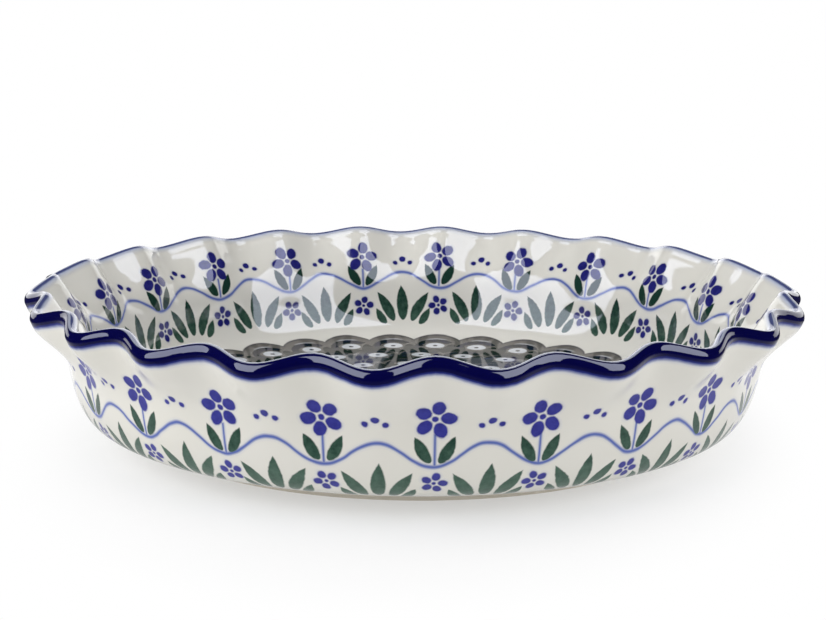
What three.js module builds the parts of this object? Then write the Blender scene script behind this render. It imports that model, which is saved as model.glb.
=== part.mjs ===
// Fluted pie dish in glazed stoneware. Millimetres, +Z up. The origin is the centre of the circle that
// the foot stands on, and one lobe of the ruffled lip points to -Y.
import * as THREE from "three";

// Foot: a bare clay ring that the dish stands on.
const FOOT_RADIUS = 92;
const FOOT_WIDTH = 7;
const FOOT_HEIGHT = 4.2;
const FOOT_BEVEL = 0.7;
const FOOT_MARGIN = 1;

// Outside of the clay, from the heel above the foot to the lip. A lean is the run outwards for each
// millimetre of rise.
const HEEL_STEP = 1;
const HEEL_REACH = 16;
const HEEL_LIFT = 1.2;
const HEEL_RISE = 8.5;
const BELLY_RADIUS = 116.3;
const BELLY_HEIGHT = 16;
const BELLY_LEAN = 0.42;
const NECK_RADIUS = 119.9;
const NECK_HEIGHT = 31;
const NECK_LEAN = 0.3;
const LIP_RADIUS = 130.8;
const LIP_HEIGHT = 48;
const LIP_LEAN = 0.4;

// Thickness of the clay and of each coat of glaze.
const WALL = 4.6;
const GLAZE = 0.4;

// Ruffle of the lip: each lobe swings out and dips, each fold between lobes draws in and rises.
const FLUTES = 23;
const FLUTE_SWING = 2.65;
const FLUTE_DIP = 1.52;
const FLUTE_FADE = 18;

// Cobalt band: it covers the round of the lip from just past the top and reaches this far down the outside.
const BAND_WIDTH = 1.8;

// Fineness of the surfaces.
const STEPS_PER_FLUTE = 6;
const STEPS_PER_FLAT_FLUTE = 2;
const HEEL_STEPS = 3;
const WALL_STEPS = 2;
const FLARE_STEPS = 2;
const LIP_STEPS = 3;

const IVORY = 0xe6e5dd;
const COBALT = 0x15154f;
const CLAY = 0xc9c3b6;

// A stretch of wall that leaves one point along its lean and meets the next along the lean there.
function stretch(from, fromHandle, to, toHandle) {
  return new THREE.CubicBezierCurve(from, from.clone().add(fromHandle), to.clone().sub(toHandle), to);
}

function handle(lean, rise) {
  return new THREE.Vector2(lean * rise, rise);
}

const heelStart = new THREE.Vector2(FOOT_RADIUS + HEEL_STEP, FOOT_HEIGHT);
const belly = new THREE.Vector2(BELLY_RADIUS, BELLY_HEIGHT);
const neck = new THREE.Vector2(NECK_RADIUS, NECK_HEIGHT);
const lip = new THREE.Vector2(LIP_RADIUS, LIP_HEIGHT);
const wallThird = (NECK_HEIGHT - BELLY_HEIGHT) / 3;
const flareThird = (LIP_HEIGHT - NECK_HEIGHT) / 3;

const heelHandle = new THREE.Vector2(HEEL_REACH, HEEL_LIFT);
const heelCurve = stretch(heelStart, heelHandle, belly, handle(BELLY_LEAN, HEEL_RISE));
const wallCurve = stretch(belly, handle(BELLY_LEAN, wallThird), neck, handle(NECK_LEAN, wallThird));
const flareCurve = stretch(neck, handle(NECK_LEAN, flareThird), lip, handle(LIP_LEAN, flareThird));

// Evenly spaced places on part of a curve, each a point with the direction that faces away from the clay.
function places(curve, start, end, steps) {
  return Array.from({ length: steps + 1 }, (_, step) => {
    const share = start + ((end - start) * step) / steps;
    const along = curve.getTangentAt(share);
    return { point: curve.getPointAt(share), outward: new THREE.Vector2(along.y, -along.x) };
  });
}

// Places up the whole wall to the edge of the band, then the one where the round of the lip begins.
const bandStart = 1 - BAND_WIDTH / flareCurve.getLength();
const wallPlaces = [
  ...places(heelCurve, 0, 1, HEEL_STEPS).slice(0, -1),
  ...places(wallCurve, 0, 1, WALL_STEPS).slice(0, -1),
  ...places(flareCurve, 0, bandStart, FLARE_STEPS),
  places(flareCurve, 1, 1, 1)[0],
];

// The surface that lies a given distance outside the clay's outer face, or inside it if negative.
function layer(distance) {
  return wallPlaces.map(({ point, outward }) => point.clone().addScaledVector(outward, distance));
}

const lipOutward = wallPlaces.at(-1).outward;
const lipCentre = layer(-WALL / 2).at(-1);

// The round of the lip at a given radius, from just past its outer end to just before its inner end.
function lipRound(radius) {
  return Array.from({ length: LIP_STEPS - 1 }, (_, step) => {
    const turn = (Math.PI * (step + 1)) / LIP_STEPS;
    const away = lipOutward.clone().rotateAround(new THREE.Vector2(), turn);
    return lipCentre.clone().addScaledVector(away, radius);
  });
}

const clayOuter = layer(0);
const clayInner = layer(-WALL);
const clayLip = lipRound(WALL / 2);
const coatOuter = layer(GLAZE);
const coatInner = layer(-WALL - GLAZE);
const coatLip = lipRound(WALL / 2 + GLAZE);
const onAxis = (height) => new THREE.Vector2(0, height);

// How much of the ruffle a height takes part in: none well below the lip, all from the lip up.
function ruffleShare(height) {
  return THREE.MathUtils.smoothstep(height, LIP_HEIGHT - FLUTE_FADE, LIP_HEIGHT);
}

// Turns a closed outline, counter-clockwise with radius across and height up, about Z and ruffles it.
// Each square of the surface is split along the same diagonal from both sides, so that two pieces which
// share a stretch of outline meet face to face.
function ruffledLathe(outline, stepsPerFlute) {
  const turns = FLUTES * stepsPerFlute;
  const geometry = new THREE.LatheGeometry(outline, turns);
  const position = geometry.getAttribute("position");
  const index = [];
  for (let turn = 0; turn <= turns; turn++) {
    const angle = (2 * Math.PI * (turn % turns)) / turns;
    const wave = Math.cos(FLUTES * angle);
    outline.forEach((corner, row) => {
      const share = ruffleShare(corner.y) * wave;
      const radius = corner.x + FLUTE_SWING * share;
      const height = corner.y - FLUTE_DIP * share;
      const here = turn * outline.length + row;
      position.setXYZ(here, radius * Math.sin(angle), -radius * Math.cos(angle), height);
      if (turn === turns || row === outline.length - 1) return;
      const next = here + outline.length;
      const rising = outline[row + 1].y > corner.y;
      if (rising) index.push(here, next, here + 1, next + 1, here + 1, next);
      else index.push(here, next, next + 1, here, next + 1, here + 1);
    });
  }
  geometry.setIndex(index);
  geometry.computeVertexNormals();
  return geometry;
}

function piece(name, outline, stepsPerFlute, color, roughness) {
  const mesh = new THREE.Mesh(
    ruffledLathe(outline, stepsPerFlute),
    new THREE.MeshStandardMaterial({ color, roughness, metalness: 0 }),
  );
  mesh.name = name;
  return mesh;
}

// A ring's outline ends where it begins.
function closed(outline) {
  return [...outline, outline[0].clone()];
}

// A coat is the strip between the clay and the coat's own face.
function coat(clayFace, coatFace) {
  return closed([...coatFace, ...clayFace.toReversed()]);
}

const footInner = FOOT_RADIUS - FOOT_WIDTH;
const insideClay = [onAxis(clayInner[0].y), ...clayInner, clayLip.at(-1)];
const insideCoat = [onAxis(coatInner[0].y), ...coatInner, coatLip.at(-1)];

const dish = new THREE.Group();
dish.name = "pie_dish";
dish.add(
  piece(
    "stoneware_body",
    [onAxis(FOOT_HEIGHT), ...clayOuter, ...clayLip, ...clayInner.toReversed(), onAxis(clayInner[0].y)],
    STEPS_PER_FLUTE,
    CLAY,
    0.85,
  ),
  piece(
    "foot_ring",
    closed([
      new THREE.Vector2(footInner + FOOT_BEVEL, 0),
      new THREE.Vector2(FOOT_RADIUS - FOOT_BEVEL, 0),
      new THREE.Vector2(FOOT_RADIUS, FOOT_BEVEL),
      new THREE.Vector2(FOOT_RADIUS, FOOT_HEIGHT),
      new THREE.Vector2(footInner, FOOT_HEIGHT),
    ]),
    STEPS_PER_FLAT_FLUTE,
    CLAY,
    0.85,
  ),
  piece("outside_glaze", coat(clayOuter.slice(0, -1), coatOuter.slice(0, -1)), STEPS_PER_FLUTE, IVORY, 0.12),
  piece("inside_glaze", [...insideClay, ...insideCoat.toReversed()], STEPS_PER_FLUTE, IVORY, 0.12),
  piece(
    "underside_glaze",
    [
      onAxis(FOOT_HEIGHT - GLAZE),
      new THREE.Vector2(footInner - FOOT_MARGIN, FOOT_HEIGHT - GLAZE),
      new THREE.Vector2(footInner - FOOT_MARGIN, FOOT_HEIGHT),
      onAxis(FOOT_HEIGHT),
    ],
    STEPS_PER_FLAT_FLUTE,
    IVORY,
    0.2,
  ),
  piece(
    "rim_band",
    coat([...clayOuter.slice(-2), ...clayLip], [...coatOuter.slice(-2), ...coatLip]),
    STEPS_PER_FLUTE,
    COBALT,
    0.1,
  ),
);

export default dish;
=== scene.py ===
"""Fluted stoneware pie dish with painted ivory glaze and a cobalt lip, on a pale studio floor.

The dish is turned from one half section, ruffled at the lip, and split into the layers it is made of: fired
clay, a bare foot and coats of glaze. Sizes are in millimetres until they become mesh vertices, in metres.
"""

import logging
import math
from dataclasses import dataclass, field
from enum import Enum
from functools import reduce
from typing import Any, Union

import bpy
import numpy as np
from mathutils import Euler, Matrix, Vector


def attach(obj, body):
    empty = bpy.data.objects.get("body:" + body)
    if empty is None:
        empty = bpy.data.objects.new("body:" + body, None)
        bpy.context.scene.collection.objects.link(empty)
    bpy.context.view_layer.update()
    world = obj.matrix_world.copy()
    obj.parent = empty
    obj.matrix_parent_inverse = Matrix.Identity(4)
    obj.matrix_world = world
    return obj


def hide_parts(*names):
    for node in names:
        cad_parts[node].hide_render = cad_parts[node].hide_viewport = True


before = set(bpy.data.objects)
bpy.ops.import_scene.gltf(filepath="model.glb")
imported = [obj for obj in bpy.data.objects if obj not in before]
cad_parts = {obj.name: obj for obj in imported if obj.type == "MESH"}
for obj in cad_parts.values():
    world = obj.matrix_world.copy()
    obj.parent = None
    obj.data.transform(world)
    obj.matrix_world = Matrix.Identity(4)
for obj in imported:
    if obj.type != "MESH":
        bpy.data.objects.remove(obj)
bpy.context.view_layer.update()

LOG = logging.getLogger("pie_dish")
MM = 0.001
LEAF_SWELL = 1.87  # makes 1 the greatest value of (1 - s * s) * sqrt(s), which shapes a leaf along its length
CLOTH_TINT = (0.92, 0.97, 1.15)  # linear: the cloth that the glaze mirrors is a little cooler than the lamps

Number = Union["Field", float]
Colour = tuple[float, float, float, float]


def linear(code: str) -> Colour:
    """Turns an sRGB hex colour into the linear colour that shaders take.

    Args:
        code: six hex digits, such as "e6e5dd".

    Returns:
        Red, green, blue and an alpha of 1, in linear light.
    """
    parts = [int(code[i : i + 2], 16) / 255 for i in (0, 2, 4)]
    red, green, blue = (p / 12.92 if p <= 0.04045 else ((p + 0.055) / 1.055) ** 2.4 for p in parts)
    return (red, green, blue, 1.0)


def empty_tree(owner: Union[bpy.types.Material, bpy.types.World]) -> bpy.types.NodeTree:
    """Gives a material or a world an empty node tree.

    Args:
        owner: the material or world.

    Returns:
        Its tree.
    """
    owner.use_nodes = True
    owner.node_tree.nodes.clear()
    return owner.node_tree


def new_object(name: str, data: bpy.types.ID) -> bpy.types.Object:
    """Adds an object to the scene.

    Args:
        name: the object's name.
        data: its mesh, lamp or camera.

    Returns:
        The object.
    """
    made = bpy.data.objects.new(name, data)
    bpy.context.scene.collection.objects.link(made)
    return made


def add(tree: bpy.types.NodeTree, kind: str, inputs: dict[Any, Any], **settings: Any) -> bpy.types.Node:
    """Adds a node with its settings, values and links.

    Args:
        tree: the node tree to add to.
        kind: the node's type name.
        inputs: for each input's name or number, a Field or socket to link, or a Tint or value to set.
        settings: properties of the node itself.

    Returns:
        The new node.
    """
    node = tree.nodes.new(kind)
    for name, value in settings.items():
        setattr(node, name, value)
    for key, value in inputs.items():
        if isinstance(value, Field):
            value = value.socket
        if isinstance(value, bpy.types.NodeSocket):
            tree.links.new(value, node.inputs[key])
        else:
            node.inputs[key].default_value = value.colour if isinstance(value, Tint) else value
    return node


@dataclass(frozen=True)
class Field:
    """A number that varies over a surface: one output of a node, with plain arithmetic."""

    tree: bpy.types.NodeTree
    socket: bpy.types.NodeSocket

    def math(self, operation: str, *others: Number, clamp: bool = False) -> "Field":
        """Applies a maths operation to this field and others.

        Args:
            operation: the operation's name.
            others: the further operands.
            clamp: whether the result is held between 0 and 1.

        Returns:
            The result as a field.
        """
        inputs = dict(enumerate((self, *others)))
        node = add(self.tree, "ShaderNodeMath", inputs, operation=operation, use_clamp=clamp)
        return Field(self.tree, node.outputs[0])

    def __add__(self, other: Number) -> "Field":
        """The sum of the two."""
        return self.math("ADD", other)

    def __sub__(self, other: Number) -> "Field":
        """The difference of the two."""
        return self.math("SUBTRACT", other)

    def __mul__(self, other: Number) -> "Field":
        """The product of the two."""
        return self.math("MULTIPLY", other)

    def __truediv__(self, other: Number) -> "Field":
        """The quotient of the two."""
        return self.math("DIVIDE", other)


def length(x: Field, y: Field) -> Field:
    """Distance of a point from the origin of its plane."""
    return (x * x + y * y).math("SQRT")


def cover(distance: Field, soft: float) -> Field:
    """Paint from 0 outside an edge to 1 inside it, for a distance in millimetres, soft on each side."""
    return distance.math("MULTIPLY_ADD", -0.5 / soft, 0.5, clamp=True)


def union(*edges: Field) -> Field:
    """Edge of several shapes taken together."""
    return reduce(lambda one, other: one.math("MINIMUM", other), edges)


def overlap(*edges: Field) -> Field:
    """Edge of what several shapes share."""
    return reduce(lambda one, other: one.math("MAXIMUM", other), edges)


def lay(below: Any, *coats: tuple[Field, Any]) -> bpy.types.NodeSocket:
    """Lays coats of paint over a colour, one on another.

    Args:
        below: the colour under them, a Tint or a socket.
        coats: for each coat, how much of what is below it hides, and its own colour.

    Returns:
        The colour's socket.
    """
    for share, paint in coats:
        # Sockets 6, 7 and 2 of this node are the ones for colours.
        node = add(share.tree, "ShaderNodeMix", {0: share, 6: below, 7: paint}, data_type="RGBA")
        below = node.outputs[2]
    return below


@dataclass(frozen=True)
class Ramp:
    """A level that goes evenly from a first to a last value between two places, and stays there beyond."""

    start: float
    end: float
    first: float
    last: float

    def inputs(self, place: Any) -> dict[str, Any]:
        """Inputs of a map range node that follows a place."""
        levels = {"To Min": self.first, "To Max": self.last}
        return {"Value": place, "From Min": self.start, "From Max": self.end, **levels}


@dataclass(frozen=True)
class DishSizes:
    """Driving sizes of the dish in millimetres: those of its solids, and a few that refine its surface."""

    foot_radius: float = 92.0
    foot_width: float = 7.0
    foot_height: float = 4.2
    foot_bevel: float = 0.7
    foot_round: float = 0.3  # share of the bevel at the middle of the outer edge's round
    foot_margin: float = 1.0
    heel_step: float = 1.0
    heel_reach: float = 16.0
    heel_lift: float = 1.2
    heel_rise: float = 8.5
    belly: tuple[float, float] = (116.3, 16.0)
    belly_lean: float = 0.42
    neck: tuple[float, float] = (119.9, 31.0)
    neck_lean: float = 0.3
    lip: tuple[float, float] = (130.8, 48.0)
    lip_lean: float = 0.4
    wall: float = 4.6
    glaze: float = 0.4
    lip_glaze: float = 0.1  # glaze runs off the lip's outer edge in the firing, so the coat is thin there
    lip_rise: float = 2.65  # height of the coat's round over the middle of the wall
    lip_square: float = 1.75  # 2 would be a plain half round, and less flattens the faces beside its top
    thinning: float = 4.0  # the coat thins over this stretch below the lip
    flutes: int = 23
    flute_swing: float = 2.65
    flute_dip: float = 1.52
    flute_fade: float = 18.0
    flute_tail: float = 0.25  # share of the ruffle that runs on down the wall
    flute_tail_start: float = 8.0  # height where that share begins
    band_width: float = 1.8
    band_turn: float = 120.0  # degrees of the lip's round that the cobalt covers, from its outer end
    band_creep: float = 0.45  # the cobalt creeps this far down past the band's lower edge
    band_wear: float = 1.2  # and wears out this far inside past its upper one
    crest_turn: float = 99.0  # degrees of the lip's round at its crest, where the glaze is thinnest


@dataclass(frozen=True)
class Marks:
    """Where the paint's zones begin, as runs along the glazed face in millimetres."""

    band_low: float
    crest: float
    band_top: float
    centre: float


UNBANDED = Marks(band_low=1e6, crest=1e6, band_top=-1e6, centre=0.0)  # out of reach: a glaze with no band


@dataclass
class Outline:
    """A stretch of half section: radius, height and the paint's run along the glazed face, in millimetres."""

    points: np.ndarray
    run: np.ndarray

    def back(self) -> "Outline":
        """The same stretch in the other direction."""
        return Outline(self.points[::-1], self.run[::-1])

    def part(self, start: int, end: int) -> "Outline":
        """The piece of the stretch from one index up to, but without, another."""
        return Outline(self.points[start:end], self.run[start:end])

    @staticmethod
    def join(*parts: "Outline") -> "Outline":
        """Joins stretches end to end."""
        return Outline(np.vstack([p.points for p in parts]), np.concatenate([p.run for p in parts]))

    @staticmethod
    def unpainted(*points: tuple[float, float]) -> "Outline":
        """An outline with no run of paint along it."""
        return Outline(np.array(points), np.zeros(len(points)))


@dataclass
class DishSection:
    """The dish's half section, sampled finely: clay and glaze faces that share their samples."""

    sizes: DishSizes
    heel_steps: int = 24
    wall_steps: int = 14
    flare_steps: int = 36
    lip_steps: int = 36
    clay: Outline = field(init=False)
    coat: Outline = field(init=False)
    band_start: int = field(init=False)
    band_end: int = field(init=False)
    crest: int = field(init=False)

    def __post_init__(self) -> None:
        """Samples both faces from the heel to the axis, and finds the band's ends and the crest."""
        s = self.sizes
        point, outward = self.wall()
        below_lip = self.run_of(point[::-1])[::-1]
        thin = np.clip(1 - below_lip / s.thinning, 0, 1)
        glaze = (s.glaze - (s.glaze - s.lip_glaze) * thin * thin * (3 - 2 * thin))[:, None]
        centre = point[-1] - outward[-1] * s.wall / 2
        turn = np.linspace(0, math.pi, self.lip_steps + 1)[1:-1]
        reach = np.sign(np.cos(turn)) * np.abs(np.cos(turn)) ** (2 / s.lip_square)
        reach = np.outer(reach, outward[-1])
        rise = np.outer(np.sin(turn) ** (2 / s.lip_square), [-outward[-1][1], outward[-1][0]])
        clay_round = centre + (reach + rise) * s.wall / 2
        coat_round = centre + reach * (s.wall / 2 + s.lip_glaze) + rise * s.lip_rise
        clay = np.vstack([point, clay_round, (point - outward * s.wall)[::-1]])
        coat = np.vstack([point + outward * glaze, coat_round, (point - outward * (s.wall + glaze))[::-1]])
        clay = np.vstack([clay, [0.0, clay[-1][1]]])
        coat = np.vstack([coat, [0.0, coat[-1][1]]])
        run = self.run_of(coat)
        self.clay, self.coat = Outline(clay, run), Outline(coat, run)
        self.band_start = int(np.argmin(np.abs(below_lip - s.band_width)))
        self.band_end = len(point) - 1 + round(self.lip_steps * s.band_turn / 180)
        self.crest = len(point) - 1 + round(self.lip_steps * s.crest_turn / 180)

    def wall(self) -> tuple[np.ndarray, np.ndarray]:
        """Samples the clay's outer face from the heel to the lip.

        Returns:
            The points, and at each the direction that faces away from the clay.
        """
        s = self.sizes
        heel = np.array([s.foot_radius + s.heel_step, s.foot_height])
        belly, neck, lip = np.array(s.belly), np.array(s.neck), np.array(s.lip)
        wall_third, flare_third = (neck[1] - belly[1]) / 3, (lip[1] - neck[1]) / 3
        at_belly, at_neck, at_lip = (np.array([lean, 1]) for lean in (s.belly_lean, s.neck_lean, s.lip_lean))
        at_heel = np.array([s.heel_reach, s.heel_lift])
        stretches = (
            self.curve(heel, at_heel, belly, s.heel_rise * at_belly, self.heel_steps),
            self.curve(belly, wall_third * at_belly, neck, wall_third * at_neck, self.wall_steps),
            self.curve(neck, flare_third * at_neck, lip, flare_third * at_lip, self.flare_steps),
        )
        point = np.vstack([p[:-1] for p, _ in stretches] + [stretches[-1][0][-1:]])
        outward = np.vstack([o[:-1] for _, o in stretches] + [stretches[-1][1][-1:]])
        return point, outward

    @staticmethod
    def curve(start: np.ndarray, out: np.ndarray, end: np.ndarray, back: np.ndarray, steps: int) -> tuple:
        """Samples a stretch of wall that leaves one point along a handle and meets the next along another.

        Args:
            start: first point.
            out: handle at the first point.
            end: last point.
            back: handle at the last point.
            steps: how many steps to take.

        Returns:
            The points, and at each the direction that faces away from the clay.
        """
        t = np.linspace(0, 1, steps + 1)[:, None]
        a, b = start + out, end - back
        points = (1 - t) ** 3 * start + 3 * t * (1 - t) ** 2 * a + 3 * t * t * (1 - t) * b + t**3 * end
        along = (1 - t) ** 2 * (a - start) + 2 * t * (1 - t) * (b - a) + t * t * (end - b)
        along = along / np.linalg.norm(along, axis=1, keepdims=True)
        return points, np.stack([along[:, 1], -along[:, 0]], axis=1)

    @staticmethod
    def run_of(points: np.ndarray) -> np.ndarray:
        """Distance of each point of a line from its first, along the line."""
        steps = np.linalg.norm(np.diff(points, axis=0), axis=1)
        return np.concatenate([[0.0], np.cumsum(steps)])

    def layer(self, start: int, end: int) -> Outline:
        """A coat's outline between two samples: its own face, then the clay under it, counter-clockwise."""
        return Outline.join(self.coat.part(start, end), self.clay.part(start, end).back())

    def marks(self) -> Marks:
        """Where the paint's zones begin along the glazed face."""
        run = self.coat.run
        return Marks(
            band_low=float(run[self.band_start]) - self.sizes.band_creep,
            crest=float(run[self.crest]),
            band_top=float(run[self.band_end]) + self.sizes.band_wear,
            centre=float(run[-1]),
        )


@dataclass(frozen=True)
class SurfacePlace:
    """Where a shader is on the dish: turns round it, millimetres along the section, radius in millimetres."""

    turn: Field
    run: Field
    radius: Field
    position: bpy.types.NodeSocket

    @classmethod
    def on(cls, tree: bpy.types.NodeTree) -> "SurfacePlace":
        """Reads the place from the piece's paint map and its own coordinates.

        Args:
            tree: the material's node tree.

        Returns:
            The place's fields.
        """
        paint = add(tree, "ShaderNodeUVMap", {}, uv_map="Paint")
        parts = add(tree, "ShaderNodeSeparateXYZ", {0: paint.outputs[0]})
        position = add(tree, "ShaderNodeTexCoord", {}).outputs["Object"]
        flat = add(tree, "ShaderNodeSeparateXYZ", {0: position})
        x, y = Field(tree, flat.outputs[0]), Field(tree, flat.outputs[1])
        run = Field(tree, parts.outputs[1])
        return cls(Field(tree, parts.outputs[0]), run, length(x, y) / MM, position)

    def noise(self, size: float, detail: float = 2.0) -> Field:
        """Smooth noise from about -0.5 to 0.5.

        Args:
            size: millimetres from one swell to the next.
            detail: how many finer octaves it has.

        Returns:
            The noise as a field.
        """
        tree = self.turn.tree
        inputs = {"Vector": self.position, "Scale": 1 / (size * MM), "Detail": detail}
        return Field(tree, add(tree, "ShaderNodeTexNoise", inputs).outputs[0]) - 0.5


@dataclass(frozen=True)
class Cell:
    """One repeat of a pattern: millimetres across and up from its centre, and its number round the dish."""

    across: Field
    up: Field
    number: Field

    @classmethod
    def round_dish(cls, turn: Field, radius: Field, up: Field, count: Number, shift: Number) -> "Cell":
        """Cuts the turn round the dish into equal cells.

        Args:
            turn: turns round the dish.
            radius: millimetres from the axis, so that shapes keep their size.
            up: millimetres up the pattern.
            count: how many cells there are.
            shift: share of a cell that the grid is moved by.

        Returns:
            The cell at each place.
        """
        place = turn * count + shift
        number = (place + 0.5).math("FLOOR")
        across = (place - number) * radius * math.tau / count
        return cls(across, up, number.math("FLOORED_MODULO", count))

    def drawn_by_hand(self, shift: float, seed: float) -> "Cell":
        """Moves the cell's drawing a little, in another way in each cell, as a painter's hand does.

        Args:
            shift: millimetres that it may move each way.
            seed: number that makes this drawing's moves differ from others.

        Returns:
            The cell with moved coordinates.
        """
        tree = self.number.tree
        noise = add(tree, "ShaderNodeTexWhiteNoise", {"W": self.number + seed}, noise_dimensions="1D")
        parts = add(tree, "ShaderNodeSeparateXYZ", {0: noise.outputs["Color"]})
        x, y = ((Field(tree, parts.outputs[i]) - 0.5) * (2 * shift) for i in (0, 1))
        return Cell(self.across + x, self.up + y, self.number + seed)

    def at(self, across: float, up: float, degrees: float = 0.0) -> tuple[Field, Field]:
        """Coordinates about a point of the cell.

        Args:
            across: the point's place across.
            up: the point's place up.
            degrees: how far the new axes are turned, counter-clockwise.

        Returns:
            Millimetres along the two new axes.
        """
        x, y = self.across - across, self.up - up
        if not degrees:
            return x, y
        cos, sin = math.cos(math.radians(degrees)), math.sin(math.radians(degrees))
        return x * cos + y * sin, y * cos - x * sin

    def mirrored(self) -> "Cell":
        """The cell folded on its middle line, so that a shape drawn once shows on both sides."""
        return Cell(self.across.math("ABSOLUTE"), self.up, self.number)


@dataclass(frozen=True)
class Dab:
    """A round or oval touch of the brush, in millimetres."""

    across: float
    up: float
    half_width: float
    half_height: float

    def edge(self, cell: Cell) -> Field:
        """About the millimetres from its edge in a cell, negative inside."""
        x, y = cell.at(self.across, self.up)
        return (length(x / self.half_width, y / self.half_height) - 1.0) * self.half_height


@dataclass(frozen=True)
class Bloom:
    """A ring of rounded petals about a dot, on a cell's middle line, in millimetres."""

    up: float
    reach: float  # from its middle to a petal's middle
    half_length: float
    half_width: float
    petals: int = 5
    turn: float = 0.7  # radians that each next bloom round the dish is turned by
    dot: float = 0.5  # the dot's radius as a share of half a petal's width

    def edge(self, cell: Cell) -> Field:
        """Signed distance from its nearest edge.

        Args:
            cell: the cell it's in.

        Returns:
            Millimetres, negative inside.
        """
        x, y = cell.at(0, self.up)
        away = length(x, y)
        sector = math.tau / self.petals
        angle = y.math("ARCTAN2", x) + math.pi / 2 + cell.number * self.turn
        angle = angle.math("WRAP", sector / 2, -sector / 2)
        along, aside = away * angle.math("COSINE") - self.reach, away * angle.math("SINE")
        petal = (length(along / self.half_length, aside / self.half_width) - 1) * self.half_width
        return union(petal, away - self.half_width * self.dot)


@dataclass(frozen=True)
class Leaf:
    """A leaf drawn with one stroke, round at its base and drawn out to a tip, in millimetres."""

    across: float  # of its base
    up: float  # of its base
    degrees: float  # the way it points, counter-clockwise from straight up
    length: float
    half_width: float
    bend: float  # how far the tip is swept to the side

    def edge(self, cell: Cell) -> Field:
        """About the signed distance from its edge.

        Args:
            cell: the cell it's in.

        Returns:
            Millimetres, negative inside.
        """
        x, y = cell.at(self.across, self.up, self.degrees)
        share = y / self.length
        bow = share * share
        side = (x - bow * self.bend).math("ABSOLUTE")
        swell = LEAF_SWELL * self.half_width
        half = bow.math("MULTIPLY_ADD", -swell, swell) * share.math("SQRT")
        return overlap(side - half, y * -1.0, y - self.length)


class Tint(Enum):
    """Colours of the clay, the glaze, the paints under it and the studio's paper, as sRGB."""

    IVORY = "e8e6df"
    IVORY_WARM = "e0ddd0"
    COBALT = "060640"
    COBALT_THIN = "323c8c"
    COBALT_HALO = "b2bad2"
    COBALT_BROKEN = "b4b9c8"
    COBALT_WORN = "4c5482"
    PETAL = "3c3e98"
    PETAL_DARK = "16165f"
    STEM = "5d6fb5"
    LEAF = "4c6a5b"
    LEAF_DARK = "1c3a31"
    SCALE_FILL = "6c6864"
    SCALE_EDGE = "262238"
    SCALE_INK = "04060c"
    SCALE_SAP = "08100f"
    EYE = "dfe2e8"
    # Painted light: the clay is lighter than its own tan, to make up for the shade that the foot stands in.
    CLAY_LIGHTENED = "e4ddd0"
    CLAY_FLASHED = "cfc6b6"
    PAPER = "f4f4f4"
    WHITE = "ffffff"

    @property
    def colour(self) -> Colour:
        """The colour in linear light."""
        return linear(self.value)


@dataclass(frozen=True)
class ScrollLayout:
    """A vine that waves once for each flute, with a blossom over each dip and leaves under each crest.

    Sizes are millimetres, and heights are measured up the wall.
    """

    vine: float
    swing: float
    blossom_up: float
    bud_up: float
    leaf_up: float
    leaf_length: float
    low_up: float
    vine_half: float = 0.45  # half the vine's width
    vine_slant: float = 0.75  # distance across the slanting vine for each millimetre straight up
    stalk_half: float = 0.38
    stalk_gap: float = 5.0  # from the blossom's middle down to the top of its stalk

    def draw(self, turn: Field, up: Field, fan: Cell, head: Cell, flutes: int) -> tuple[Field, Field, Field]:
        """Draws the scroll.

        Args:
            turn: turns round the dish.
            up: millimetres up the wall.
            fan: the cell of the leaves and of the buds over them.
            head: the blossom's cell.
            flutes: how many times the vine waves.

        Returns:
            Millimetres from the nearest edge of the stems, of the blue and of the green, negative inside.
        """
        base, long, dip = self.leaf_up, self.leaf_length, self.vine - self.swing
        wave = (turn * (math.tau * flutes)).math("COSINE")
        vine = (up - self.vine - wave * self.swing).math("ABSOLUTE") * self.vine_slant - self.vine_half
        top, foot = head.up - (self.blossom_up - self.stalk_gap), head.up * -1.0 + dip
        stalk = overlap(head.across.math("ABSOLUTE") - self.stalk_half, top, foot)
        blossom = Bloom(self.blossom_up, reach=4.0, half_length=2.5, half_width=2.05)
        small = Bloom(self.low_up, reach=2.6, half_length=1.5, half_width=1.3)
        bud = Dab(across=0.0, up=self.bud_up, half_width=1.3, half_height=1.3)
        side_bud = Dab(across=3.0, up=self.bud_up - 1.8, half_width=1.0, half_height=1.0)
        middle = Leaf(across=0.0, up=base + 1.4, degrees=0.0, length=long, half_width=2.3, bend=0.8)
        beside = Leaf(across=3.7, up=base + 0.9, degrees=-20.0, length=long * 0.92, half_width=2.1, bend=2.2)
        lowest = Leaf(across=6.6, up=base - 0.2, degrees=-46.0, length=long * 0.52, half_width=1.6, bend=-1.6)
        on_stalk = Leaf(across=1.2, up=dip + 1.0, degrees=-38.0, length=9.5, half_width=1.8, bend=-1.4)
        pair = fan.mirrored()
        blue = union(blossom.edge(head), small.edge(head), bud.edge(fan), side_bud.edge(pair))
        green = union(middle.edge(fan), beside.edge(pair), lowest.edge(pair), on_stalk.edge(head.mirrored()))
        return union(vine, stalk), blue, green


@dataclass(frozen=True)
class Finish:
    """A real surface. Each kind paints its own colour and relief into a node tree."""

    name: str
    roughness: float
    ior: float = 1.5

    def paint(self, place: SurfacePlace) -> Any:
        """Builds the colour at a place, as a socket."""
        raise NotImplementedError

    def relief(self, place: SurfacePlace) -> Field:
        """Builds the height of fine relief at a place, in metres."""
        raise NotImplementedError

    def material(self) -> bpy.types.Material:
        """Builds the material.

        Returns:
            A new node material.
        """
        made = bpy.data.materials.new(self.name)
        tree = empty_tree(made)
        place = SurfacePlace.on(tree)
        bump = add(tree, "ShaderNodeBump", {"Height": self.relief(place), "Strength": 1.0, "Distance": 1.0})
        inputs = {
            "Base Color": self.paint(place),
            "Roughness": self.roughness,
            "IOR": self.ior,
            "Normal": bump.outputs[0],
        }
        shader = add(tree, "ShaderNodeBsdfPrincipled", inputs)
        add(tree, "ShaderNodeOutputMaterial", {"Surface": shader.outputs[0]})
        return made


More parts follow.
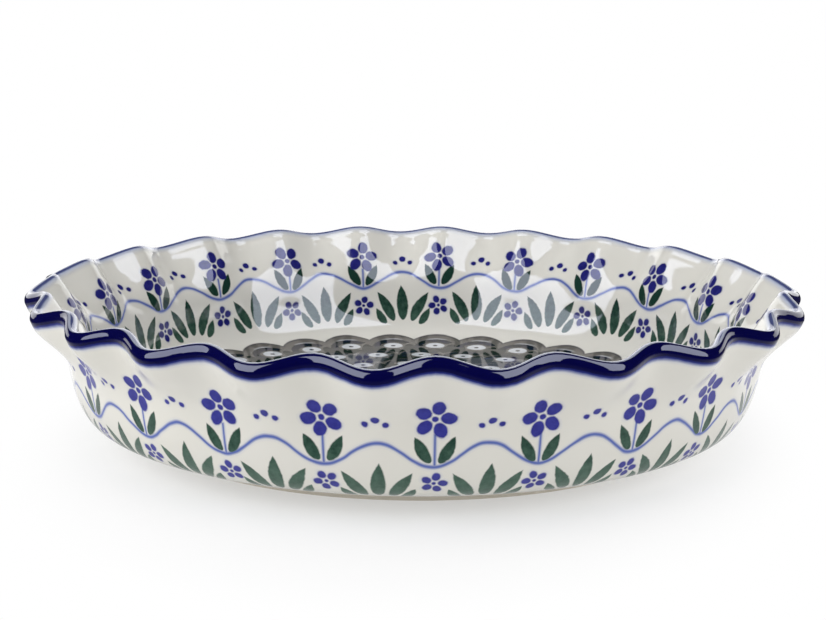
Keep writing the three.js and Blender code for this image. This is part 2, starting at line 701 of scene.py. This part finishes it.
@dataclass(frozen=True)
class BareClay(Finish):
    """Fired stoneware with no glaze: a dry, warm grey surface with a fine sandy grain that scatters light."""

    def paint(self, place: SurfacePlace) -> Any:
        """Mottles the clay over swells of 6 mm, as the kiln's flame leaves it."""
        tone = place.noise(size=6.0).math("MULTIPLY_ADD", 0.5, 0.3, clamp=True)
        # Painted light: the clay's tint is lighter than the bare clay itself, so the shaded foot looks lit.
        return lay(Tint.CLAY_LIGHTENED, (tone, Tint.CLAY_FLASHED))

    def relief(self, place: SurfacePlace) -> Field:
        """Sandy grain of 0.4 mm that stands 0.02 mm proud."""
        return place.noise(size=0.4) * (0.02 * MM)


@dataclass(frozen=True)
class Glaze(Finish):
    """Clear glaze over ivory slip, dipped and fired: wet-looking, with a slow swell that softens reflections.

    The cobalt band's fades are each a rise per millimetre and a level at the band's lower edge.
    """

    ior: float = 1.52
    marks: Marks = UNBANDED
    halo_fade: tuple[float, float] = (0.45, 0.8)  # of the pale blue that bleeds out of the band
    thin_fade: tuple[float, float] = (0.8, 0.35)  # of the cobalt where it is thin
    deep_from: float = 0.5  # millimetres above its lower edge where the cobalt starts to be deep
    bleed: float = 2.6  # millimetres that the pale blue reaches inside past the worn cobalt
    bleed_rise: float = 0.38  # of that blue, per millimetre
    worn_rise: tuple[float, float] = (2.0, 1.6)  # of the worn cobalt per millimetre, and its fall
    crest_half: float = 0.45  # half the width of the white line along the crest
    crest_fade: float = 0.12  # millimetres over which that line fades on each side
    crest_share: float = 0.8  # how much of the cobalt it hides
    crest_edge: float = 0.3  # millimetres over which the outer cobalt fades at the crest, on each side

    def relief(self, place: SurfacePlace) -> Field:
        """Swells of 14 mm that stand 0.02 mm proud, from the way the dip runs off before it is fired."""
        return place.noise(size=14.0, detail=1.0) * (0.02 * MM)

    def paint(self, place: SurfacePlace) -> Any:
        """Ivory, with the cobalt band where this piece reaches it."""
        return self.band(place, self.ivory(place))

    def ivory(self, place: SurfacePlace) -> Any:
        """The bare glaze: ivory that pools a little warmer over swells of 30 mm."""
        tone = (place.noise(size=30.0) + 0.4).math("MULTIPLY", 0.5, clamp=True)
        return lay(Tint.IVORY, (tone, Tint.IVORY_WARM))

    def band(self, place: SurfacePlace, below: Any) -> Any:
        """Lays the cobalt band of the lip over a colour.

        It bleeds into the glaze below it, breaks to white along the top of the lip, where the glaze is thin,
        and wears out just inside.

        Args:
            place: where the shader is.
            below: the colour under the band.

        Returns:
            The colour's socket.
        """
        low = place.run - self.marks.band_low + place.noise(size=5.0) * 0.7
        top = place.run.math("MULTIPLY_ADD", -1.0, self.marks.band_top) + place.noise(size=2.5) * 0.25
        past = place.run - self.marks.crest
        outside = cover(past, self.crest_edge)
        bleed = (top + self.bleed).math("MULTIPLY", self.bleed_rise, clamp=True)
        halo = low.math("MULTIPLY_ADD", *self.halo_fade, clamp=True) * bleed
        thin = low.math("MULTIPLY_ADD", *self.thin_fade, clamp=True) * outside
        deep = low.math("SUBTRACT", self.deep_from, clamp=True) * outside
        rise, fall = self.worn_rise
        worn = (past * rise).math("MINIMUM", top * fall).math("ADD", 0.0, clamp=True)
        crest = cover(past.math("ABSOLUTE") - self.crest_half, self.crest_fade) * self.crest_share
        return lay(
            below,
            (halo * halo, Tint.COBALT_HALO),
            (worn, Tint.COBALT_WORN),
            (thin, Tint.COBALT_THIN),
            (deep, Tint.COBALT),
            (crest, Tint.COBALT_BROKEN),
        )


@dataclass(frozen=True, kw_only=True)
class PaintedGlaze(Glaze):
    """Glaze over underglaze paint: brushed cobalt and copper green that bleed a little into the glaze.

    So each blue stroke has a pale edge, and each stroke is darker where the brush was loaded.
    """

    layout: ScrollLayout
    load: float  # how thick the paint is brushed on, from 0 to 1, and on the outside also painted reflection that pales it
    up_from: float  # run along the section at the foot of the wall
    up_sign: float  # 1 where the run goes up the wall, -1 where it goes down
    flutes: int
    scales: bool = False
    stroke_edge: float = 0.22  # millimetres over which a stroke's edge fades on each side
    vine_edge: float = 0.3
    halo: tuple[float, float, float] = (0.3, 0.7, 0.4)  # reach, fade and strength of a stroke's pale edge

    def paint(self, place: SurfacePlace) -> Any:
        """Ivory, then the scales of the floor, the scroll of the wall and the band of the lip.

        Args:
            place: where the shader is.

        Returns:
            The colour's socket.
        """
        colour = self.ivory(place)
        if self.scales:
            colour = ScaleFloor(self.marks.centre).paint(place, colour)
        colour = self.scroll(place, colour)
        return self.band(place, colour)

    def scroll(self, place: SurfacePlace, below: Any) -> Any:
        """Draws the vine, its blossoms and its leaves.

        Args:
            place: where the shader is.
            below: the colour under them.

        Returns:
            The colour's socket.
        """
        plan = self.layout
        wobble = place.noise(size=7.0, detail=1.0)
        up = place.run.math("MULTIPLY_ADD", self.up_sign, -self.up_sign * self.up_from) + wobble
        count = float(self.flutes)
        fan = Cell.round_dish(place.turn, place.radius + wobble * 2.0, up, count, shift=0.0)
        fan = fan.drawn_by_hand(shift=0.6, seed=3.0)
        head = Cell.round_dish(place.turn, place.radius, up, count, shift=0.5)
        head = head.drawn_by_hand(shift=0.7, seed=11.0)
        ragged = place.noise(size=1.4, detail=1.0) * 0.4
        stems, blue, green = plan.draw(place.turn, up, fan, head, self.flutes)
        blue, green = blue + ragged, green + ragged
        tone = place.noise(size=2.2) * 1.1 + place.noise(size=0.7) * 0.4
        shade = (fan.up - plan.leaf_up) / plan.leaf_length
        reach, fade, strength = self.halo
        halo = cover(union(blue, stems) - reach, fade) * strength
        # The brush leaves more paint towards a leaf's tip, and pools here and there in leaf and petal.
        loaded = shade.math("MULTIPLY_ADD", 0.5, self.load - 0.35).math("ADD", tone, clamp=True)
        sap = lay(Tint.LEAF, (loaded, Tint.LEAF_DARK))
        loaded = (tone * 0.7).math("ADD", self.load - 0.1, clamp=True)
        ink = lay(Tint.PETAL, (loaded, Tint.PETAL_DARK))
        return lay(
            below,
            (halo, Tint.COBALT_HALO),
            (cover(stems, self.vine_edge), Tint.STEM),
            (cover(green, self.stroke_edge), sap),
            (cover(blue, self.stroke_edge), ink),
        )


@dataclass(frozen=True)
class ScaleFloor:
    """Overlapping scales stamped in rings over the floor, each with a white eye: a common folk pattern.

    Sizes are millimetres.
    """

    centre: float  # run along the section at the axis
    reach: float = 106.5  # of the outer ring's tops, up the cove
    inner: float = 86.5  # of the next ring's tops, which lie over the lower part of the outer ring
    ring: float = 16.5  # from one ring's tops to the next
    stagger: float = 0.74  # share of a scale that each ring is turned by
    width: float = 18.9
    bow: float = 11.5  # radius of each scale's top
    eye_drop: float = 9.0  # from a scale's top to the middle of its eye
    outer_drop: float = 12.5  # the same in the outer ring
    eye: Dab = Dab(across=0.0, up=0.0, half_width=3.7, half_height=3.5)
    pupil: Dab = Dab(across=0.0, up=0.0, half_width=0.9, half_height=0.9)
    painted_reflection: Dab = Dab(across=0.0, up=-4.8, half_width=3.4, half_height=1.2)  # painted reflection: a pale dab in each outer scale, where the cove's glaze mirrors the eye below it
    reflection_share: float = 0.5  # how much of the ground that painted reflection hides
    brow: float = 8.0  # radius of the dark brow round the eye
    brow_side: float = 6.6  # how far the brow goes to one side
    brow_slant: float = 0.6  # of the cut under it
    hollow: float = 5.6  # radius of the brow's inner edge
    hollow_drop: float = 1.2  # how far that edge's middle lies below the eye's
    side_ray: Leaf = Leaf(across=6.6, up=2.0, degrees=177.0, length=17.0, half_width=2.7, bend=0.8)
    middle_ray: Leaf = Leaf(across=0.0, up=-4.6, degrees=180.0, length=7.5, half_width=3.6, bend=0.0)
    rim_rise: float = 0.6  # the scale's ground darkens by this much for each millimetre towards its edge
    edge: float = 0.25  # millimetres over which a stroke's edge fades on each side
    stamp_edge: float = 0.3  # the same for a stamped shape
    fine_edge: float = 0.2  # for a small one
    reflection_edge: float = 0.5  # for the pale dab of painted reflection
    button: tuple[float, float, float] = (8.0, 4.6, 1.2)  # radii of the dark, pale and dot at the centre

    def paint(self, place: SurfacePlace, below: Any) -> Any:
        """Draws the rings of scales.

        Args:
            place: where the shader is.
            below: the colour under them.

        Returns:
            The colour's socket.
        """
        away = place.run.math("MULTIPLY_ADD", -1.0, self.centre) + place.noise(size=9.0, detail=1.0) * 0.8
        first = self.inner + self.ring
        ring = away.math("MULTIPLY_ADD", -1.0, first).math("DIVIDE", self.ring)
        ring = ring.math("FLOOR").math("MAXIMUM", 0.0)
        outermost, covered = ring.math("LESS_THAN", 0.5), ring.math("GREATER_THAN", 0.5)
        outer = ring.math("MULTIPLY_ADD", -self.ring, first) + outermost * (self.reach - first)
        count = (outer * (math.tau / self.width)).math("ROUND").math("MAXIMUM", 1.0)
        cell = Cell.round_dish(place.turn, place.radius, away - outer, count, ring * self.stagger + 0.5)
        cell = cell.drawn_by_hand(shift=0.3, seed=29.0)
        drop = outermost.math("MULTIPLY_ADD", self.outer_drop - self.eye_drop, self.eye_drop)
        look = Cell(cell.across, cell.up + drop, cell.number)
        arch = length(cell.across, cell.up + self.bow) - self.bow
        brow = self.brow_edge(look)
        rays = union(self.side_ray.edge(look.mirrored()), self.middle_ray.edge(look))
        tone = place.noise(size=2.2)
        ragged = place.noise(size=1.4, detail=1.0) * 0.5
        within = cover(arch, self.stamp_edge)
        gap = cover(arch * -1.0 - 0.2, self.stamp_edge) * covered
        inked = within.math("MAXIMUM", covered) * away.math("LESS_THAN", self.reach + 1.0)
        within = within * inked
        rim = arch.math("MULTIPLY_ADD", self.rim_rise, 1.0).math("ADD", tone * 0.3, clamp=True) * within
        fill = lay(Tint.SCALE_FILL, (rim * rim, Tint.SCALE_EDGE))
        loaded = tone.math("MULTIPLY_ADD", 1.6, 0.85, clamp=True)
        ink = lay(Tint.PETAL_DARK, (loaded, Tint.SCALE_INK))
        sap = lay(Tint.SCALE_SAP, (loaded, Tint.SCALE_INK))
        dark, pale, dot = self.button
        return lay(
            below,
            (inked, fill),
            (gap, sap),
            # Painted reflection: a pale dab under the top of each outer scale stands in for the eye mirrored
            # in the cove's glaze.
            (cover(self.painted_reflection.edge(cell), self.reflection_edge) * within * outermost * self.reflection_share, Tint.EYE),
            (cover(rays + ragged, self.edge) * inked, sap),
            (cover(brow + ragged, self.edge) * within, ink),
            (cover(self.eye.edge(look), self.stamp_edge) * within, Tint.EYE),
            (cover(self.pupil.edge(look), self.fine_edge) * within, ink),
            (cover(away - dark, self.stamp_edge), ink),
            (cover(away - pale, self.fine_edge), Tint.EYE),
            (cover(away - dot, self.fine_edge), ink),
        )

    def brow_edge(self, look: Cell) -> Field:
        """Draws the brow: a crescent over the eye that is cut off on a slant and at one side.

        Args:
            look: the cell about the eye's middle.

        Returns:
            Millimetres from its edge, negative inside.
        """
        disc = length(look.across, look.up) - self.brow
        hollow = length(look.across, look.up + self.hollow_drop) * -1.0 + self.hollow
        slant = look.up * -1.0 - look.across * self.brow_slant
        return overlap(disc, hollow, slant, look.across * -1.0 - self.brow_side)


@dataclass
class TurnedPiece:
    """A piece turned about the dish's axis and ruffled near the lip."""

    node: str
    slot: str
    outline: Outline
    finish: Finish
    sizes: DishSizes
    steps_per_flute: int = 16
    sharp_angle: float = 40.0  # degrees: edges that bend more than this stay crisp

    @property
    def name(self) -> str:
        """The piece's own name."""
        return "dish_" + self.node

    def build(self) -> bpy.types.Object:
        """Makes the piece's closed mesh and its paint map.

        Returns:
            The piece's object.
        """
        rows, run = self.outline.points, self.outline.run
        turns, used = self.sizes.flutes * self.steps_per_flute, len(rows)
        number = np.arange(turns * used).reshape(turns, used)
        vertices = self.ruffled(turns)
        # An outline that begins and ends on the axis closes there, and any other closes on itself.
        if rows[0][0] == 0 and rows[-1][0] == 0:
            number[:, 0], number[:, -1] = number[0, 0], number[0, -1]
        else:
            run = np.append(run, run[0])
        keep, number = np.unique(number, return_inverse=True)
        number = number.reshape(turns, used)
        faces, places = [], []
        for i in range(turns):
            here, then = number[i], number[(i + 1) % turns]
            for j in range(len(run) - 1):
                k = (j + 1) % used
                corners = [here[j], then[j], then[k], here[k]]
                spots = [(i, run[j]), (i + 1, run[j]), (i + 1, run[j + 1]), (i, run[j + 1])]
                kept = [n for n in range(4) if corners[n] != corners[n - 1]]
                faces.append([int(corners[n]) for n in kept])
                places += [(spots[n][0] / turns, spots[n][1]) for n in kept]
        mesh = bpy.data.meshes.new(self.name)
        mesh.from_pydata(vertices[keep].tolist(), [], faces)
        paint = mesh.uv_layers.new(name="Paint")
        paint.uv.foreach_set("vector", np.array(places, dtype=np.float32).ravel())
        mesh.polygons.foreach_set("use_smooth", [True] * len(mesh.polygons))
        mesh.set_sharp_from_angle(angle=math.radians(self.sharp_angle))
        return new_object(self.name, mesh)

    def ruffled(self, turns: int) -> np.ndarray:
        """Turns the outline about the axis and draws its upper part out into lobes and folds.

        Args:
            turns: how many steps there are round the dish.

        Returns:
            For each step, and in it for each point of the outline, a vertex in metres.
        """
        s, rows = self.sizes, self.outline.points
        angle = np.arange(turns) / turns * math.tau
        share = (1 - s.flute_tail) * self.ease(rows[:, 1], s.lip[1] - s.flute_fade, s.lip[1])
        share = share + s.flute_tail * self.ease(rows[:, 1], s.flute_tail_start, s.lip[1])
        wave = np.outer(np.cos(s.flutes * angle), share)
        radius, height = rows[:, 0] + s.flute_swing * wave, rows[:, 1] - s.flute_dip * wave
        x, y = radius * np.sin(angle)[:, None], -radius * np.cos(angle)[:, None]
        return np.stack([x, y, height], axis=2).reshape(-1, 3) * MM

    @staticmethod
    def ease(height: np.ndarray, start: float, end: float) -> np.ndarray:
        """Shares that rise smoothly from 0 at a first height to 1 at a last."""
        t = np.clip((height - start) / (end - start), 0, 1)
        return t * t * (3 - 2 * t)

    def dress(self, piece: bpy.types.Object) -> None:
        """Gives the piece its finish and its place in the frame.

        Args:
            piece: the built object.
        """
        piece.data.materials.append(self.finish.material())
        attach(piece, "root")
        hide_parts(self.node)


@dataclass
class PieDish:
    """The whole dish: its section, its finishes and its pieces."""

    sizes: DishSizes = field(default_factory=DishSizes)

    def pieces(self) -> list[TurnedPiece]:
        """Lays out the pieces.

        Returns:
            The pieces, from the clay outwards.
        """
        s = self.sizes
        section = DishSection(s)
        start, end, last = section.band_start, section.band_end, len(section.coat.run)
        body = Outline.join(Outline.unpainted((0.0, s.foot_height)), section.clay)
        inside = Outline.join(section.clay.part(end, last).back(), section.coat.part(end, last))
        painted_outside, painted_inside = self.painted(section)
        # Turned clay, and a foot that is sponged before the firing: both are dry and dull.
        turned = BareClay("Fired stoneware clay, turned", roughness=0.85)
        wiped = BareClay("Bare stoneware foot, wiped clean of glaze", roughness=0.8)
        # A thin dip is a little less wet-looking than the glaze that pools over brushed cobalt.
        plain = Glaze("Clear glaze dipped over ivory slip", roughness=0.1)
        cobalt = Glaze("Cobalt glaze brushed over the lip", roughness=0.05, ior=1.54, marks=section.marks())
        plan = (
            ("stoneware_body", "fired_stoneware", body, turned),
            ("foot_ring", "bare_foot_clay", self.foot(), wiped),
            ("underside_glaze", "plain_glaze", self.underside(), plain),
            ("outside_glaze", "painted_glaze_outside", section.layer(0, start + 1), painted_outside),
            ("inside_glaze", "painted_glaze_inside", inside, painted_inside),
            ("rim_band", "cobalt_glaze", section.layer(start, end + 1), cobalt),
        )
        return [TurnedPiece(*row, sizes=s) for row in plan]

    def painted(self, section: DishSection) -> tuple[PaintedGlaze, PaintedGlaze]:
        """Lays out the painting of the wall's two faces, thinner and paler outside than inside; the outside's
        paler paint is partly painted reflection of the bright floor.

        Args:
            section: the dish's half section.

        Returns:
            The finishes of the outside and the inside.
        """
        scroll_outside = ScrollLayout(
            vine=34.5, swing=4.0, blossom_up=45.5, bud_up=46.5, leaf_up=15.5, leaf_length=15.0, low_up=24.0
        )
        scroll_inside = ScrollLayout(
            vine=37.5, swing=3.5, blossom_up=46.5, bud_up=47.5, leaf_up=20.0, leaf_length=14.5, low_up=26.5
        )
        outside = PaintedGlaze(
            "Ivory glaze over brushed cobalt and green, outside",
            roughness=0.07,
            marks=section.marks(),
            layout=scroll_outside,
            # Painted reflection: the outside's thin load also pales its paint, as the floor mirrored in its
            # glaze would.
            load=0.25,
            up_from=0.0,
            up_sign=1.0,
            flutes=self.sizes.flutes,
        )
        inside = PaintedGlaze(
            "Ivory glaze over brushed cobalt and green, inside",
            roughness=0.05,
            marks=section.marks(),
            layout=scroll_inside,
            load=0.8,
            up_from=float(section.coat.run[-2]),
            up_sign=-1.0,
            flutes=self.sizes.flutes,
            scales=True,
        )
        return outside, inside

    def foot(self) -> Outline:
        """Outlines the foot: a ring with bevelled edges, the outer one rounded.

        Returns:
            The outline, counter-clockwise.
        """
        s = self.sizes
        inner, bevel, rounded = s.foot_radius - s.foot_width, s.foot_bevel, s.foot_round * s.foot_bevel
        return Outline.unpainted(
            (inner + bevel, 0.0),
            (s.foot_radius - bevel, 0.0),
            (s.foot_radius - rounded, rounded),
            (s.foot_radius, bevel),
            (s.foot_radius, s.foot_height),
            (inner, s.foot_height),
            (inner, bevel),
        )

    def underside(self) -> Outline:
        """Outlines the coat of glaze inside the foot.

        Returns:
            The outline, counter-clockwise.
        """
        s = self.sizes
        edge, low = s.foot_radius - s.foot_width - s.foot_margin, s.foot_height - s.glaze
        return Outline.unpainted((0.0, low), (edge, low), (edge, s.foot_height), (0.0, s.foot_height))

    def build(self) -> None:
        """Builds and dresses every piece."""
        for piece in self.pieces():
            made = piece.build()
            piece.dress(made)
            LOG.info("%s: %d faces, finish %s", made.name, len(made.data.polygons), piece.finish.name)


@dataclass(frozen=True)
class Softbox:
    """A studio lamp behind a sheet of cloth, aimed at the dish. Lengths are in metres.

    It is either the even light that falls on the dish or the bright cloth that the glaze mirrors, because the
    glaze mirrors only the brightest part of a cloth.
    """

    name: str
    aside: float  # degrees round from the camera, to the right
    lift: float  # degrees above the floor
    away: float
    size: tuple[float, float]
    radiance: float
    cloth: bool = False

    def build(self, facing: float) -> None:
        """Adds the lamp.

        Args:
            facing: radians round the dish to the camera.
        """
        turn, lift = facing + math.radians(self.aside), math.radians(self.lift)
        aim = Vector((math.sin(turn) * math.cos(lift), -math.cos(turn) * math.cos(lift), math.sin(lift)))
        lamp = bpy.data.lights.new(self.name, "AREA")
        lamp.shape = "RECTANGLE"
        lamp.size, lamp.size_y = self.size
        lamp.energy = self.radiance * math.pi * self.size[0] * self.size[1]
        lamp.color = CLOTH_TINT if self.cloth else (1.0, 1.0, 1.0)
        made = new_object(self.name, lamp)
        made.location = aim * self.away
        made.rotation_euler = aim.to_track_quat("Z", "Y").to_euler()
        made.visible_glossy = self.cloth
        made.visible_diffuse = not self.cloth


@dataclass
class Studio:
    """A pale floor, soft lamps and the camera at the photograph's angle. Lengths are in metres."""

    floor_half: float = 4.0
    backdrop_away: float = 1.8
    backdrop_height: float = 1.0
    backdrop_gleam: float = 1.8  # its strength in the glaze, where a strength of 1 is the white that is seen
    shade: Ramp = Ramp(0.1, 0.2, 0.4, 1.0)  # share of plain white on the floor, which hides the dish's shade
    shade_shape: tuple[float, float, float] = (1.45, 1.0, 1.0)  # the shade is narrower from side to side
    glow: float = 0.5  # how much of that white lights the dish
    gleam_depth: Ramp = Ramp(-0.15, 0.05, 0.08, 1.0)  # the floor's strength in the glaze, from front to back
    gleam_far: Ramp = Ramp(0.17, 0.24, 1.0, 0.03)  # how it falls off away from the dish
    gleam_heel: Ramp = Ramp(0.12, 0.15, 0.5, 0.0)  # the least of it, close to the heel
    room: float = 0.15  # strength of the room's light on the dish
    room_gleam: float = 0.01  # its strength in the glaze
    room_colour: Colour = (0.97, 0.98, 1.0, 1.0)  # linear
    turn: float = 0.0901  # the camera stands this far round the dish from its front, in radians
    pitch: float = 0.1896  # radians
    roll: float = 0.0069  # radians
    lens: float = 82.82  # millimetres
    sensor: float = 36.0  # millimetres
    eye: tuple[float, float, float] = (-0.00055, -0.65065, 0.16666)
    lamps: tuple[Softbox, ...] = (
        Softbox("light_left", aside=-68.0, lift=31.0, away=1.2, size=(1.44, 1.44), radiance=2.0),
        Softbox("light_right", aside=58.0, lift=25.0, away=1.2, size=(0.87, 1.1), radiance=2.05),
        Softbox("light_top", aside=0.0, lift=85.0, away=1.2, size=(1.2, 1.2), radiance=0.75),
        Softbox("cloth_left", aside=-50.0, lift=26.0, away=1.18, size=(1.0, 1.36), radiance=4.9, cloth=True),
        Softbox("cloth_right", aside=48.0, lift=31.0, away=1.18, size=(0.87, 1.46), radiance=4.9, cloth=True),
    )

    def build(self) -> None:
        """Sets up floor, backdrop, lamps, surroundings and camera."""
        h, y, z = self.floor_half, self.backdrop_away, self.backdrop_height
        self.sheet("floor", [(-h, -h, 0), (h, -h, 0), (h, h, 0), (-h, h, 0)], self.floor_paper())
        self.sheet("backdrop", [(-h, y, 0), (h, y, 0), (h, y, z), (-h, y, z)], self.backdrop_paper())
        for lamp in self.lamps:
            lamp.build(self.turn)
        self.surroundings()
        self.camera()
        bpy.context.scene.view_settings.view_transform = "Standard"

    @staticmethod
    def sheet(name: str, corners: list[tuple[float, float, float]], paper: bpy.types.Material) -> None:
        """Adds a flat sheet of paper.

        Args:
            name: the sheet's name.
            corners: its four corners.
            paper: its material.
        """
        mesh = bpy.data.meshes.new(name)
        mesh.from_pydata(corners, [], [(0, 1, 2, 3)])
        mesh.materials.append(paper)
        made = new_object(name, mesh)

    def floor_paper(self) -> bpy.types.Material:
        """Makes the matt white paper that the dish stands on.

        Past the dish's shade the camera sees it as plain white, as an overlit backdrop is, and the glaze
        mirrors it brightest close behind the dish.

        Returns:
            The material.
        """
        paper = bpy.data.materials.new("Matt white paper sweep")
        tree = empty_tree(paper)
        rays = add(tree, "ShaderNodeLightPath", {}).outputs
        place = add(tree, "ShaderNodeTexCoord", {}).outputs["Object"]
        depth = add(tree, "ShaderNodeSeparateXYZ", {0: place}).outputs[1]
        away = add(tree, "ShaderNodeVectorMath", {0: place}, operation="LENGTH").outputs["Value"]
        stretch = {0: place, 1: self.shade_shape}
        shaped = add(tree, "ShaderNodeVectorMath", stretch, operation="MULTIPLY").outputs[0]
        shaped = add(tree, "ShaderNodeVectorMath", {0: shaped}, operation="LENGTH").outputs["Value"]
        plain = add(tree, "ShaderNodeMapRange", self.shade.inputs(shaped), interpolation_type="SMOOTHSTEP")
        glow = Field(tree, rays["Is Camera Ray"]).math("MULTIPLY_ADD", 1.0 - self.glow, self.glow)
        plain = Field(tree, plain.outputs[0]) * glow
        matt = add(tree, "ShaderNodeBsdfDiffuse", {"Color": Tint.PAPER}).outputs[0]
        white = add(tree, "ShaderNodeEmission", {"Color": Tint.WHITE, "Strength": 1.0}).outputs[0]
        seen = add(tree, "ShaderNodeMixShader", {0: plain, 1: matt, 2: white}).outputs[0]
        ramps = (self.gleam_depth.inputs(depth), self.gleam_far.inputs(away), self.gleam_heel.inputs(away))
        back, far, heel = (Field(tree, add(tree, "ShaderNodeMapRange", r).outputs[0]) for r in ramps)
        inputs = {"Color": Tint.WHITE, "Strength": (back * far).math("MAXIMUM", heel)}
        gleam = add(tree, "ShaderNodeEmission", inputs).outputs[0]
        both = add(tree, "ShaderNodeMixShader", {0: rays["Is Glossy Ray"], 1: seen, 2: gleam})
        add(tree, "ShaderNodeOutputMaterial", {"Surface": both.outputs[0]})
        return paper

    def backdrop_paper(self) -> bpy.types.Material:
        """Makes the overlit white paper behind the dish, which gleams along the far edges of the glaze.

        Returns:
            The material.
        """
        paper = bpy.data.materials.new("Overlit white paper")
        tree = empty_tree(paper)
        rays = add(tree, "ShaderNodeLightPath", {}).outputs
        bright = Field(tree, rays["Is Glossy Ray"]).math("MULTIPLY_ADD", self.backdrop_gleam - 1.0, 1.0)
        glow = add(tree, "ShaderNodeEmission", {"Color": Tint.WHITE, "Strength": bright})
        add(tree, "ShaderNodeOutputMaterial", {"Surface": glow.outputs[0]})
        return paper

    def surroundings(self) -> None:
        """Lights the room evenly.

        The camera sees plain white past the floor, and the glaze mirrors a dim room, so that only the
        softboxes and the paper shine in it.
        """
        world = bpy.data.worlds.new("studio")
        tree = empty_tree(world)
        rays = add(tree, "ShaderNodeLightPath", {}).outputs
        grey = self.room_colour
        lights = ((grey, self.room), (grey, self.room_gleam), (Tint.WHITE, 1.0))
        room, dim, white = (
            add(tree, "ShaderNodeBackground", {"Color": colour, "Strength": strength}).outputs[0]
            for colour, strength in lights
        )
        lit = add(tree, "ShaderNodeMixShader", {0: rays["Is Glossy Ray"], 1: room, 2: dim}).outputs[0]
        seen = add(tree, "ShaderNodeMixShader", {0: rays["Is Camera Ray"], 1: lit, 2: white}).outputs[0]
        add(tree, "ShaderNodeOutputWorld", {"Surface": seen})
        bpy.context.scene.world = world

    def camera(self) -> None:
        """Places the camera that the photograph's outlines give."""
        data = bpy.data.cameras.new("camera")
        data.lens, data.sensor_width, data.sensor_fit = self.lens, self.sensor, "HORIZONTAL"
        made = new_object("camera", data)
        stand = Matrix.Rotation(self.turn, 4, "Z")
        tilt = Euler((math.pi / 2 - self.pitch, 0.0, 0.0)).to_matrix().to_4x4()
        made.matrix_world = stand @ Matrix.Translation(self.eye) @ tilt @ Matrix.Rotation(self.roll, 4, "Z")
        bpy.context.scene.camera = made


def main() -> None:
    """Builds the dish and its studio."""
    logging.basicConfig(level=logging.INFO, format="%(name)s: %(message)s")
    PieDish().build()
    Studio().build()


if __name__ == "__main__":
    main()
